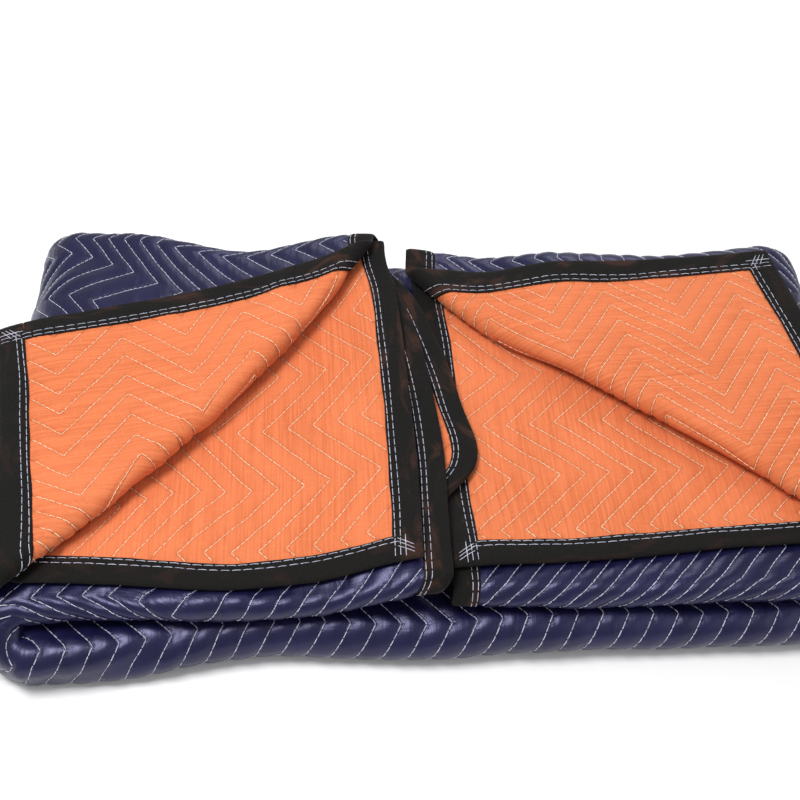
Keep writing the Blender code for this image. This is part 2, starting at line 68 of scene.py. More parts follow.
# The stack's front and back, by x: the bound edge, the two front folds, and the back fold.
FOLD_LINES = np.array(
    [
        # x, bound edge y, end fold y, middle fold y, back fold y
        (-0.47, 0.004, -0.014, -0.050, 0.510),
        (-0.34, 0.000, -0.011, -0.044, 0.492),
        (-0.20, -0.012, -0.016, -0.020, 0.458),
        (-0.02, 0.004, -0.008, -0.028, 0.482),
        (0.13, 0.008, -0.014, -0.022, 0.448),
        (0.28, 0.020, -0.012, -0.024, 0.432),
        (0.47, 0.026, -0.010, -0.020, 0.456),
    ]
)
HIDDEN_EDGE_Y = 0.045  # the bound edges under the stack are set back this far

# How far each layer of an end reaches past the middle (x), by y from front to back.
REACH_Y = np.array([-0.02, 0.03, 0.07, 0.14, 0.23, 0.33, 0.40, 0.45, 0.50])
LEFT_REACH = {
    "outer": np.array([-16, -20, -24, -30, -38, -46, -52, -56, -58]) * MM,
    "lower": np.array([-4, -4, -4, 45, 35, 14, -10, -38, -48]) * MM,
    "middle": np.array([12, 11, 11, 12, 5, -9, -27, -40, -44]) * MM,
    "upper": np.array([-17, -17, -17, -18, -22, -27, -33, -42, -44]) * MM,
}
RIGHT_REACH = {
    "outer": np.array([-28, -27, -26, -25, -24, -22, -19, -16, -13]) * MM,
    "lower": np.array([12, 11, 10, 8, 6, 2, -3, -8, -13]) * MM,
    "middle": np.array([14, 13, 11, 8, 6, 2, -3, -8, -13]) * MM,
    "upper": np.array([14, 12, 10, 6, 4, 1, -4, -8, -13]) * MM,
}
# The layers' levels near the middle, where the left end lies on the right one: inside, at front.
LEFT_CLOSE = {"lower": (33.5, 28), "middle": (42.5, 50), "upper": (52, 60), "outer": (61.5, 69)}
RIGHT_CLOSE = {"lower": (4.5, 5), "middle": (13.5, 30), "upper": (22.5, 40), "outer": (31.5, 49)}
LEFT_ZONE = (-0.13, -0.008)
RIGHT_ZONE = (0.17, 0.06)
FRONT_BAND = (0.12, 0.015)  # the layers part for the front fold's roll between these y
FRONT_LEVELS = {"lower": 5 * MM, "middle": 30.2 * MM, "upper": 39.5 * MM, "outer": 50 * MM}
UNDER_LEVEL = LEVELS["outer"]

# The turned-back corners: the fold line from the back to the front, its bow, and its roll.
FLAPS = {
    -1: {
        "back": (-0.060, 0.482),
        "front": (-0.430, -0.004),
        "bow": 0.024,
        "wave": 0.0,
        "edge": -0.018,
    },
    1: {
        "back": (-0.022, 0.461),
        "front": (0.462, -0.014),
        "bow": 0.006,
        "wave": 0.012,
        "edge": -0.014,
    },
}
ROLL_LEAST = 7 * MM
ROLL_SWELL = 4 * MM
FLAP_LEVEL = 9.5 * MM
FLAP_SETTLE = 0.07
FLOOR_GAP = 0.2 * MM  # the cloth comes no nearer than this to the surface that it lies on
FLAP_STIFFNESS = 25  # how much straighter a flap lies over the turned end than the layer below

# The stack's slight unevenness, none at the bottom.
RUMPLE = 2.0 * MM

# The middle of the folded stack, which becomes the origin.
STACK_MIDDLE = (-0.0126, 0.2269)

LAYERS = ("outer", "lower", "middle", "upper")


def ease(value, start, end):
    """0 before start, 1 after end, and a smooth step between."""
    t = np.clip((value - start) / (end - start), 0, 1)
    return t * t * (3 - 2 * t)


def smooth_through(x, xs, ys):
    """A smooth curve through a short table."""
    slope = np.gradient(ys, xs)
    x = np.clip(x, xs[0], xs[-1])
    i = np.clip(np.searchsorted(xs, x) - 1, 0, len(xs) - 2)
    width = xs[i + 1] - xs[i]
    t = (x - xs[i]) / width
    start = ys[i] * (1 + 2 * t) * (1 - t) ** 2 + slope[i] * width * t * (1 - t) ** 2
    return start + ys[i + 1] * (3 - 2 * t) * t**2 + slope[i + 1] * width * (t - 1) * t**2


def side_position(c):
    """The side (-1 or 1), and the shares along the middle, the turn and the end."""
    side = np.where(c < 0, -1.0, 1.0)
    reach = np.abs(c)
    middle = np.minimum(reach / TURN_START_C, 1)
    turn = np.clip((reach - TURN_START_C) / (TURN_END_C - TURN_START_C), 0, 1)
    end = np.maximum((reach - TURN_END_C) / (1 - TURN_END_C), 0)
    return side, middle, turn, end


def level(layer, y, turn):
    """A layer's distance from the closing level: evenly spaced inside, parted at the front."""
    front = 1 - ease(y, FRONT_BAND[1], FRONT_BAND[0])
    at_end = LEVELS[layer] + (FRONT_LEVELS[layer] - LEVELS[layer]) * front
    if layer != "middle":
        return at_end
    # Under the stack the front fold drops to the surface, past the bound edges.
    dropped = 1 - ease(y, -0.015, HIDDEN_EDGE_Y - 0.006)
    at_middle = at_end + (UNDER_LEVEL - at_end) * dropped
    return at_middle + (at_end - at_middle) * turn


def back_line(rough_x):
    """The y of the back fold."""
    return smooth_through(rough_x, FOLD_LINES[:, 0], FOLD_LINES[:, 4])


def layer_places(v, outer_edge, turn, rough_x):
    """The y of each layer at v, as if it ran on past its turns, and the y of both folds."""
    lines = [smooth_through(rough_x, FOLD_LINES[:, 0], FOLD_LINES[:, k]) for k in (1, 2, 3)]
    back_y = back_line(rough_x)
    fold_y = lines[2] + (lines[1] - lines[2]) * turn
    edge_y = {
        "outer": HIDDEN_EDGE_Y + (outer_edge - HIDDEN_EDGE_Y) * turn,
        "upper": HIDDEN_EDGE_Y + (lines[0] - HIDDEN_EDGE_Y) * turn,
    }
    outer_y = edge_y["outer"] + (back_y - edge_y["outer"]) * v / OUTER_V
    lower_y = back_y + (fold_y - back_y) * (v - BACK_V) / (LOWER_V - BACK_V)
    middle_y = fold_y + (back_y - fold_y) * (v - FRONT_V) / (MIDDLE_V - FRONT_V)
    upper_span = (v - INNER_V) / (BLANKET_WIDTH - INNER_V)
    upper_y = back_y + (edge_y["upper"] - back_y) * upper_span
    ys = {"outer": outer_y, "lower": lower_y, "middle": middle_y, "upper": upper_y}
    return ys, fold_y, back_y


def end_height(layer, side, x, y, flat_level):
    """The level of an end's layer, changed near the middle where one end lies on the other."""
    front = 1 - ease(y, FRONT_BAND[1], FRONT_BAND[0])
    left = (LEFT_CLOSE[layer][0] + (LEFT_CLOSE[layer][1] - LEFT_CLOSE[layer][0]) * front) * MM
    right = (RIGHT_CLOSE[layer][0] + (RIGHT_CLOSE[layer][1] - RIGHT_CLOSE[layer][0]) * front) * MM
    near_left = ease(x, *LEFT_ZONE)
    near_right = ease(-x, -RIGHT_ZONE[0], -RIGHT_ZONE[1])
    close = np.where(side < 0, left, right)
    near = np.where(side < 0, near_left, near_right)
    return flat_level + (close - flat_level) * near


def fold_line(sign):
    """A turned-back corner's fold line: its start, its direction, its length, and across it."""
    back, front = np.array(FLAPS[sign]["back"]), np.array(FLAPS[sign]["front"])
    length = np.linalg.norm(front - back)
    along = (front - back) / length
    return back, along, length, np.array([-sign * abs(along[1]), -abs(along[0])])


def roll_radius(share):
    """The radius of the roll along the fold line, by the share of its length."""
    return ROLL_LEAST + ROLL_SWELL * np.sin(np.pi * np.clip(share, 0.05, 0.95))


def fold_bow(sign, share):
    """How far the fold line bows and waves across, by the share of its length."""
    share = np.clip(share, 0, 1)
    flap = FLAPS[sign]
    return flap["bow"] * np.sin(np.pi * share) + flap["wave"] * np.sin(2 * np.pi * share)


def past_fold(sign, x, y):
    """How far a place on the outer layer lies past the fold line, and the roll's radius there."""
    back, along, length, across = fold_line(sign)
    share = ((x - back[0]) * along[0] + (y - back[1]) * along[1]) / length
    past = (x - back[0]) * across[0] + (y - back[1]) * across[1] - fold_bow(sign, share)
    return past, roll_radius(share)


def turned_back(side, x, y):
    """Turns a corner of the outer layer back over the fold line: its place and its height."""
    height = np.zeros_like(x)
    for sign in FLAPS:
        across = fold_line(sign)[3]
        past, radius = past_fold(sign, x, y)
        turn = np.clip(past / radius, 0, np.pi)
        beyond = np.maximum(past - np.pi * radius, 0)
        shift = radius * np.sin(turn) - beyond - past
        settle = 1 - np.exp(-beyond / FLAP_SETTLE)
        rise = radius * (1 - np.cos(turn)) + (FLAP_LEVEL - 2 * radius) * settle
        here = (side == sign) & (past > 0)
        x = np.where(here, x + across[0] * shift, x)
        y = np.where(here, y + across[1] * shift, y)
        height = np.where(here, rise, height)
    return x, y, height


def rumple(x, y):
    """A low wave over the stack."""
    return RUMPLE * (
        np.sin(11 * x + 5 * y + 0.7) * np.cos(9 * y - 3 * x) + 0.5 * np.sin(23 * x - 8 * y)
    )


def mid_surface(c, v):
    """The middle of the quilted pad at (c, v), in world coordinates."""
    c, v = np.broadcast_arrays(np.asarray(c, float), np.asarray(v, float))
    side, middle, turn, end = side_position(c)
    reach = side * np.where(turn < 1, END_TURN * middle, END_TURN * (1 - end))
    edge = np.where(side < 0, FLAPS[-1]["edge"], FLAPS[1]["edge"])
    ys, fold_y, back_y = layer_places(v, edge, turn, reach)

    def placed(layer, y):
        base = level(layer, y, turn)
        tip = np.where(
            side < 0,
            smooth_through(y, REACH_Y, LEFT_REACH[layer]),
            smooth_through(y, REACH_Y, RIGHT_REACH[layer]),
        )
        x_end = side * END_TURN + (tip - side * END_TURN) * end
        height = end_height(layer, side, x_end, y, base)
        return base, x_end, height

    def joined(first, second, y, start, stop, bulge):
        """Half a turn from one layer to the next, about the y of the turn."""
        angle = np.pi * np.clip((v - start) / (stop - start), 0, 1)
        share = (1 - np.cos(angle)) / 2
        parts = [a + (b - a) * share for a, b in zip(placed(first, y), placed(second, y))]
        gap = [np.abs(b - a) / 2 for a, b in zip(placed(first, y), placed(second, y))]
        base_out, height_out = bulge * gap[0] * np.sin(angle), bulge * gap[2] * np.sin(angle)
        out = np.where(turn < 1, base_out, base_out + (height_out - base_out) * ease(end, 0, 0.2))
        return y + out, *parts

    back = joined("outer", "lower", back_y, OUTER_V, BACK_V, 1)
    front = joined("lower", "middle", fold_y, LOWER_V, FRONT_V, -1)
    inner = joined("middle", "upper", back_y, MIDDLE_V, INNER_V, 1)
    flat = {layer: (ys[layer], *placed(layer, ys[layer])) for layer in LAYERS}
    pieces = (flat["outer"], back, flat["lower"], front, flat["middle"], inner, flat["upper"])
    starts = (OUTER_V, BACK_V, LOWER_V, FRONT_V, MIDDLE_V, INNER_V)
    y, base, x_end, height = (
        np.select([v < s for s in starts], [p[k] for p in pieces[:-1]], pieces[-1][k])
        for k in range(4)
    )

    # The end turns over through half a circle about the closing level.
    angle = np.pi * turn
    x = np.where(turn > 0, side * (END_TURN + base * np.sin(angle)), side * END_TURN * middle)
    z = -base * np.cos(angle)
    x = np.where(end > 0, x_end, x)
    z = np.where(end > 0, height, z)

    # The outer layer's corner turns back; x runs on round the end's turn as if that were flat.
    flat_x = np.where(turn < 1, side * (END_TURN + (np.pi - angle) * base), x)
    upper_half = (v < OUTER_V) & (turn > 0.5)
    flap_x, flap_y, rise = turned_back(side, flat_x, y)
    over = np.abs(flap_x) - END_TURN
    bend = base + FLAP_STIFFNESS * rise
    bent = np.clip(over / bend, 0, np.pi)
    side_x = side * (END_TURN + bend * np.sin(bent))
    side_z = base + rise - bend * (1 - np.cos(bent))
    top_z = end_height("outer", side, flap_x, flap_y, base) + rise
    x = np.where(upper_half, np.where(over > 0, side_x, flap_x), x)
    z = np.where(upper_half, np.where(over > 0, side_z, top_z), z)
    y = np.where(upper_half, flap_y, y)

    z = z + MID_HEIGHT
    z = z + rumple(x, y) * np.clip((z - PAD_HALF) / MID_HEIGHT / 2, 0, 1)
    return np.stack([x - STACK_MIDDLE[0], y - STACK_MIDDLE[1], z], axis=-1)


def pad_surface(c, v, offset):
    """The pad's surface at an offset from its middle, which is positive towards the navy face."""
    step = 1e-4
    along_c = mid_surface(c + step, v) - mid_surface(c - step, v)
    along_v = mid_surface(c, v + step) - mid_surface(c, v - step)
    normal = np.cross(along_v, along_c)
    normal /= np.linalg.norm(normal, axis=-1, keepdims=True)
    return mid_surface(c, v) + normal * np.asarray(offset)[..., None]


# The quilting: parallel zigzag lines, which run from the first bound edge to the last. Its own
# coordinates are p across the lines, in lines, and q along them, a whole number at each corner.
LINE_STEP = 25.3 * MM
LINE_START = 2 * MM
LINES_ASIDE = 42  # quilt lines on either side of the middle one
COLUMNS_PER_LINE = 4
ROW_PARTS = 60  # the finest steps between two rows of corners
STITCH_ROWS = range(-1, 28)
ZIG_REACH = 35 * MM
# Each row is q and its v.
ROW_TABLE = np.array(
    [(-1, -0.078), (0, -0.0105), (4, 0.2585), (15, 1.015), (24, 1.754), (29, 2.149)]
)
# The lines lie wider or closer at the two ends: past this u, by v at the first and last edge.
SPREAD_START = 0.6
SPREAD = {-1: (1.12, 1.05), 1: (0.83, 0.965)}
SLANT_RISE = 45 * MM  # the corner rows lie higher over the middle than over the left end
PUFF = 1.3 * MM
SEAM_DEPTH = 1.9 * MM
CLOTH_EDGE = 1.2 * MM  # the panels' distance from the pad's middle under a binding

# The main creases, listed: from (u, v) to (u, v), half width and depth in mm, up on the navy side.
CREASES = (
    (-0.47, 1.050, -0.27, 1.022, 9, -6.5),
    (-0.46, 1.020, -0.30, 1.000, 14, 3.5),
    (-0.40, 0.985, -0.18, 0.995, 12, -3.0),
    (-0.12, 1.032, 0.02, 1.012, 10, -2.5),
    (0.06, 1.020, 0.20, 1.034, 12, 2.5),
    (0.22, 1.000, 0.36, 1.020, 10, -3.0),
    (0.38, 1.040, 0.46, 1.010, 12, 2.5),
    (-0.88, 1.050, -0.72, 1.066, 10, -2.5),
    (-0.74, 1.046, -0.60, 1.050, 14, 3.0),
    (-0.60, 1.064, -0.52, 1.040, 9, -3.0),
    (0.88, 1.052, 0.74, 1.040, 9, -3.0),
    (0.76, 1.066, 0.62, 1.058, 13, 3.0),
    (0.62, 1.050, 0.52, 1.070, 10, -3.0),
    (-0.80, 0.060, -0.74, 0.200, 22, -3.0),
    (-0.87, 0.120, -0.80, 0.260, 20, 3.0),
    (-0.70, 0.050, -0.66, 0.130, 16, 2.5),
    (-0.90, 0.330, -0.84, 0.240, 14, -2.5),
    (0.86, 0.060, 0.78, 0.180, 22, -3.0),
    (0.90, 0.150, 0.83, 0.260, 18, 3.0),
    (0.74, 0.050, 0.70, 0.140, 18, 3.0),
    (0.68, 0.060, 0.60, 0.100, 14, -2.5),
    (-0.86, 1.950, -0.80, 1.840, 18, -2.0),
    (-0.76, 1.960, -0.72, 1.900, 15, 2.0),
    (0.86, 1.960, 0.80, 1.870, 16, -2.2),
    (0.80, 1.980, 0.76, 1.900, 12, 2.2),
    (0.70, 1.975, 0.66, 1.915, 12, -2.2),
    (0.88, 1.840, 0.82, 1.760, 16, 2.0),
    (-0.62, 0.440, -0.52, 0.400, 18, -3.5),
    (-0.72, 0.470, -0.60, 0.480, 14, 3.0),
    (-0.50, 0.380, -0.47, 0.300, 16, 3.0),
)

# Threads.
STITCH = 5.4 * MM
STITCH_GAP = 0.9 * MM
EDGE_STITCH = 11 * MM
THREAD = 0.42 * MM
TACK_ENDS = (2, 15, 5, 20, 9, 24, 13, 27)  # down from the blanket's corner, in mm
TACK_WIDTH = 8 * MM


def flat_to_plan(u, v):
    """The plan's c of a flat place (u, v)."""
    table_v = [0, OUTER_V, BACK_V, LOWER_V, FRONT_V, MIDDLE_V, INNER_V, BLANKET_WIDTH]
    levels = [LEVELS[k] for k in ("outer", "outer", "lower", "lower", "middle", "middle", "upper")]
    turn = np.pi * np.interp(v, table_v, [*levels, LEVELS["upper"]])
    reach = np.abs(u)
    end = (reach - END_TURN - turn) / (BLANKET_LENGTH / 2 - END_TURN - turn)
    c = TURN_START_C * np.minimum(reach / END_TURN, 1)
    c += (TURN_END_C - TURN_START_C) * np.clip((reach - END_TURN) / turn, 0, 1)
    return np.sign(u) * (c + (1 - TURN_END_C) * np.maximum(end, 0))


def place(u, v, offset):
    """A flat place at an offset from the pad's middle, folded, in world coordinates."""
    u, v, offset = np.broadcast_arrays(u, v, offset)
    points = pad_surface(flat_to_plan(u, v), v, offset + crease(u, v))
    points[..., 2] = np.maximum(points[..., 2], FLOOR_GAP)
    return points


def crease(u, v):
    """The pad's own unevenness, as a distance along its normal."""
    depth = 0.7 * np.sin(31 * u + 13 * v) * np.sin(23 * v + 1) + 0.4 * np.sin(57 * u - 41 * v)
    depth = depth + 0.35 * np.sin(118 * u + 47 * v + 2 * np.sin(29 * v)) * np.sin(71 * v - 33 * u)
    for u0, v0, u1, v1, half_width, deep in CREASES:
        span = np.hypot(u1 - u0, v1 - v0)
        along_u, along_v = (u1 - u0) / span, (v1 - v0) / span
        along = ((u - u0) * along_u + (v - v0) * along_v) / span
        wander = 0.3 * half_width * MM * np.sin(7 * along + 40 * u0)
        across = ((v - v0) * along_u - (u - u0) * along_v + wander) / (half_width * MM)
        ends = ease(along, -0.35, 0.25) * (1 - ease(along, 0.75, 1.35))
        depth = depth + deep * ends * np.exp(-(across**2))
    return depth * MM


def zigzag(q):
    """The sideways place of a quilt line at q along it: back and forth between whole numbers."""
    return ZIG_REACH * (1 - 2 * np.abs(q % 2 - 1))


def spread(u, v):
    """How much wider the lines lie at u's end, at v."""
    share = ease(v, 0.26, 1.7)
    left = SPREAD[-1][0] + (SPREAD[-1][1] - SPREAD[-1][0]) * share
    right = SPREAD[1][0] + (SPREAD[1][1] - SPREAD[1][0]) * share
    return np.where(u < 0, left, right)


def row_slant(u):
    """How far the rows of corners lie from level, at u."""
    return SLANT_RISE * ease(u, -0.70, -0.56) * (1 - ease(u, -0.46, -0.40))


def pattern_to_flat(p, q):
    """The flat place (u, v) of a place in the quilting's own coordinates."""
    even = LINE_START + p * LINE_STEP
    v = np.interp(q, ROW_TABLE[:, 0], ROW_TABLE[:, 1])
    past = np.maximum(np.abs(even) - SPREAD_START, 0) * np.sign(even)
    u = even + past * (spread(even, v) - 1) + zigzag(q)
    return u, v + row_slant(u)


def flat_to_pattern(u, v):
    """The quilting's own coordinates of a flat place."""
    v = v - row_slant(u)
    q = np.interp(v, ROW_TABLE[:, 1], ROW_TABLE[:, 0])
    even = u - zigzag(q)
    past = np.maximum(np.abs(even) - SPREAD_START, 0) * np.sign(even)
    even = even + past * (1 / spread(even, v) - 1)
    return (even - LINE_START) / LINE_STEP, q


def edge_inside(u, v):
    """How far inside the nearest bound edge a flat place lies."""
    return np.minimum(BLANKET_LENGTH / 2 - np.abs(u), np.minimum(v, BLANKET_WIDTH - v))


def quilt_offset(u, v):
    """The cloth's distance from the pad's middle: puffed between lines, thin under the binding."""
    p, _ = flat_to_pattern(u, v)
    between = np.abs(np.sin(np.pi * p))
    puffed = PAD_HALF + PUFF - SEAM_DEPTH * (1 - between**0.7)
    rise = ease(edge_inside(u, v), BINDING_WIDTH - 1 * MM, BINDING_WIDTH + 9 * MM)
    return CLOTH_EDGE + (puffed - CLOTH_EDGE) * rise


def panel_rows():
    """The rows across the blanket: fine where the cloth shows, coarse inside the stack."""
    rows = []
    k = int(ROW_TABLE[0, 0]) * ROW_PARTS
    while k < ROW_TABLE[-1, 0] * ROW_PARTS:
        v = np.interp(k / ROW_PARTS, ROW_TABLE[:, 0], ROW_TABLE[:, 1])
        rows.append(k / ROW_PARTS)
        if v > BLANKET_WIDTH:
            break
        hidden = BACK_V + 0.03 < v < LOWER_V - 0.08 or FRONT_V + 0.08 < v < MIDDLE_V - 0.06
        round_turn = OUTER_V - 0.01 < v < BACK_V or LOWER_V - 0.01 < v < FRONT_V + 0.01
        step = 10 if hidden else 3 if round_turn else 4
        k = min(k + step, (k // ROW_PARTS + 1) * ROW_PARTS)
    return np.array(rows)


def mesh_from(body, name, material):
    mesh = bpy.data.meshes.new(name)
    body.to_mesh(mesh)
    body.free()
    mesh.shade_smooth()
    mesh.materials.append(material)
    piece = bpy.data.objects.new(name, mesh)
    bpy.context.collection.objects.link(piece)
    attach(piece, "root")
    return piece


def cloth_panel(name, side, material):
    """One quilted panel: a flat grid along the quilt lines, trimmed to size, then folded."""
    rows = panel_rows()
    columns = LINES_ASIDE * COLUMNS_PER_LINE
    wide, tall = 2 * columns, len(rows) - 1
    body = bmesh.new()
    bmesh.ops.create_grid(body, x_segments=wide, y_segments=tall, size=1)
    for vert in body.verts:
        i = round((vert.co.x + 1) / 2 * wide)
        j = round((vert.co.y + 1) / 2 * tall)
        u, v = pattern_to_flat((i - columns) / COLUMNS_PER_LINE, rows[j])
        vert.co = (u, v, 0)
    trims = (
        ((BLANKET_LENGTH / 2 - PAD_EDGE, 0, 0), (1, 0, 0)),
        ((PAD_EDGE - BLANKET_LENGTH / 2, 0, 0), (-1, 0, 0)),
        ((0, PAD_EDGE, 0), (0, -1, 0)),
        ((0, BLANKET_WIDTH - PAD_EDGE, 0), (0, 1, 0)),
    )
    for point, outward in trims:
        geometry = [*body.verts, *body.edges, *body.faces]
        bmesh.ops.bisect_plane(
            body, geom=geometry, dist=1e-6, plane_co=point, plane_no=outward, clear_outer=True
        )
    if side < 0:
        bmesh.ops.reverse_faces(body, faces=body.faces)
    piece = mesh_from(body, name, material)
    fold(piece.data, lambda u, v: side * quilt_offset(u, v))
    return piece


def fold(mesh, offset):
    """Keeps a flat mesh's own places, and those of its quilting, as its maps; then folds it."""
    flat = np.empty(len(mesh.vertices) * 3)
    mesh.vertices.foreach_get("co", flat)
    u, v, _ = flat.reshape(-1, 3).T
    corners = np.empty(len(mesh.loops), int)
    mesh.loops.foreach_get("vertex_index", corners)
    for name, pair in (("flat", (u, v)), ("quilt", flat_to_pattern(u, v))):
        layer = mesh.uv_layers.new(name=name)
        layer.data.foreach_set("uv", np.stack(pair, axis=-1)[corners].ravel())
    mesh.vertices.foreach_set("co", place(u, v, offset(u, v)).ravel())
    mesh.update()


# A binding's section: the distance inside the edge, and the offset from the pad's middle.
BINDING_SECTION = (
    (BINDING_WIDTH - 0.6 * MM, 1.9 * MM),
    (BINDING_WIDTH, 2.4 * MM),
    (BINDING_WIDTH - 1.2 * MM, 3.0 * MM),
    (23 * MM, 3.1 * MM),
    (18 * MM, 3.2 * MM),
    (13 * MM, 3.2 * MM),
    (8 * MM, 3.1 * MM),
    (3 * MM, 2.9 * MM),
    (0.0, 2.0 * MM),
    (-1.1 * MM, 0.8 * MM),
)


def edge_binding(name, long_edge, high, material):
    """A strip folded over one bound edge, swept along it."""
    half = [*BINDING_SECTION]
    section = np.array(half + [(inside, -offset) for inside, offset in reversed(half)])
    length = BLANKET_LENGTH + 2 * BINDING_SHEET if long_edge else BLANKET_WIDTH - 2 * BINDING_WIDTH
    count = int(length / (3.6 * MM))
    tall = len(section) - 1
    body = bmesh.new()
    bmesh.ops.create_grid(body, x_segments=count, y_segments=tall, size=1)
    for vert in body.verts:
        along = length * vert.co.x / 2
        inside, offset = section[round((vert.co.y + 1) / 2 * tall)]
        # The strip's inner edge wanders a little, and the strip puckers between its stitches.
        waver = np.sin(37 * along) + 0.7 * np.sin(91 * along + 2 * high)
        inside += 0.5 * MM * waver * ease(inside, 0.0, BINDING_WIDTH)
        pucker = np.sin(2 * np.pi * along / EDGE_STITCH + 9 * high)
        offset *= 1 + 0.05 * pucker * ease(inside, 8 * MM, 20 * MM)
        closing = 1.0
        if long_edge:
            closing = ease(length / 2 - abs(along), -0.001, 0.004)
            u, v = along, inside if not high else BLANKET_WIDTH - inside
        else:
            u = (BLANKET_LENGTH / 2 - inside) * (1 if high else -1)
            v = BLANKET_WIDTH / 2 + along
        vert.co = (u, v, offset * (0.3 + 0.7 * closing))
    piece = mesh_from(body, name, material)
    mesh = piece.data
    flat = np.empty(len(mesh.vertices) * 3)
    mesh.vertices.foreach_get("co", flat)
    offsets = flat.reshape(-1, 3)[:, 2].copy()
    fold(mesh, lambda u, v: offsets)
    return piece


def stitch_curve(name, stitches, thread, material):
    """Thread as short separate runs; each is a row of flat places and offsets."""
    curve = bpy.data.curves.new(name, "CURVE")
    curve.dimensions = "3D"
    curve.bevel_depth = thread
    curve.bevel_resolution = 0
    curve.materials.append(material)
    points = place(stitches[..., 0], stitches[..., 1], stitches[..., 2])
    points[..., 2] = np.maximum(points[..., 2], thread + FLOOR_GAP)
    for run in points:
        spline = curve.splines.new("POLY")
        spline.points.add(len(run) - 1)
        spline.points.foreach_set("co", np.column_stack([run, np.ones(len(run))]).ravel())
    piece = bpy.data.objects.new(name, curve)
    bpy.context.collection.objects.link(piece)
    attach(piece, "root")
    return piece


def quilt_stitches(side, shows):
    """The quilt lines' stitches on one side, where that side shows."""
    legs = []
    for line in range(-LINES_ASIDE, LINES_ASIDE + 1):
        for row in STITCH_ROWS:
            u, v = pattern_to_flat(line, np.array([row, row + 1]))
            count = max(round(np.hypot(u[1] - u[0], v[1] - v[0]) / (STITCH + STITCH_GAP)), 1)
            for k in range(count):
                legs.append((line, row + (k + 0.07) / count, row + (k + 0.93) / count))
    legs = np.array(legs)
    shares = np.array([0, 0.3, 0.7, 1])
    q = legs[:, 1:2] + (legs[:, 2:3] - legs[:, 1:2]) * shares
    # Each stitch lies a little aside from the line.
    aside = 0.012 * np.sin(7.3 * legs[:, :1] + 91 * legs[:, 1:2]) * np.ones_like(q)
    u, v = pattern_to_flat(legs[:, :1] + aside, q)
    clear = edge_inside(u, v).min(axis=1) > BINDING_WIDTH + 1 * MM
    keep = clear & shows(u.mean(axis=1), v.mean(axis=1))
    u, v = u[keep], v[keep]
    lift = np.array([-0.35, 0.3, 0.3, -0.35]) * MM
    return np.stack([u, v, side * (quilt_offset(u, v) + lift)], axis=-1)


def edge_stitches():
    """Two rows of stitches along each binding, through its corners, and the corners' tacks."""
    runs = []

    def add(along, inside, long_edge, high):
        for side in (1, -1):
            lift = side * (np.array([-0.3, 0.3, 0.3, -0.3]) * MM + 3.15 * MM)
            if long_edge:
                across = BLANKET_WIDTH - inside if high else inside
                runs.append(np.column_stack([along - BLANKET_LENGTH / 2, across, lift]))
            else:
                across = (BLANKET_LENGTH / 2 - inside) * (1 if high else -1)
                runs.append(np.column_stack([across, along, lift]))

    shares = np.array([0, 0.33, 0.67, 1])
    for row, inside in enumerate((BINDING_WIDTH - 2.6 * MM, BINDING_WIDTH - 8.2 * MM)):
        for length, long_edge in ((BLANKET_LENGTH, True), (BLANKET_WIDTH, False)):
            start = inside if long_edge else 3 * MM
            count = round((length - 2 * start) / EDGE_STITCH)
            pitch = (length - 2 * start) / count
            for high in (False, True):
                for k in range(count):
                    along = start + pitch * (k + 0.09 + 0.82 * shares)
                    waver = 0.5 * MM * np.sin(37 * (along - length / 2) + row)
                    add(along, inside + waver, long_edge, high)
    # Each corner is tacked with a few long slanting stitches.
    for high in (False, True):
        for far in (False, True):
            for k, (start, stop) in enumerate(zip(TACK_ENDS, TACK_ENDS[1:])):
                slant = (TACK_WIDTH if k % 2 else 0) * (1 - 2 * shares)
                across = BINDING_WIDTH - 13 * MM + slant
                down = (start + (stop - start) * shares) * MM
                add(BLANKET_WIDTH - down if far else down, across, False, high)
    return np.array(runs)


def on_navy(u, v):
    """Where the navy side shows."""
    outer = (v < BACK_V + 0.01) & (np.abs(u) > END_TURN - 0.03)
    back = (v > OUTER_V - 0.02) & (v < BACK_V + 0.01)
    front = (v > LOWER_V - 0.05) & (v < FRONT_V + 0.05)
    return outer | back | front


def on_orange(u, v):
    """Where the orange side shows."""
    ends = np.abs(u) > END_TURN + 0.06
    return ends & ((v < OUTER_V) | (v > INNER_V + 0.01))


# The weaves' repeats.
ORANGE_WEAVE = 1.1 * MM
TAPE_TWILL = 1.5 * MM


class Value:
    """A value in a finish's shader; its operators add Math nodes."""

    def __init__(self, finish, socket):
        self.finish, self.socket = finish, socket

    def maths(self, operation, *values):
        settings = {"operation": operation}
        return self.finish.node("Math", settings, dict(enumerate((self, *values))))

    def __add__(self, other):
        return self.maths("ADD", other)

    def __sub__(self, other):
        return self.maths("SUBTRACT", other)

    def __mul__(self, other):
        return self.maths("MULTIPLY", other)

    def __mod__(self, other):
        return self.maths("FLOORED_MODULO", other)

    def __abs__(self):
        return self.maths("ABSOLUTE")

    def __rsub__(self, other):
        return self * -1 + other

    __radd__ = __add__
    __rmul__ = __mul__

    def eased(self, low, high):
        """0 below low, 1 above high, and a smooth step between."""
        settings = {"interpolation_type": "SMOOTHSTEP"}
        return self.finish.node("MapRange", settings, {0: self, 1: low, 2: high})


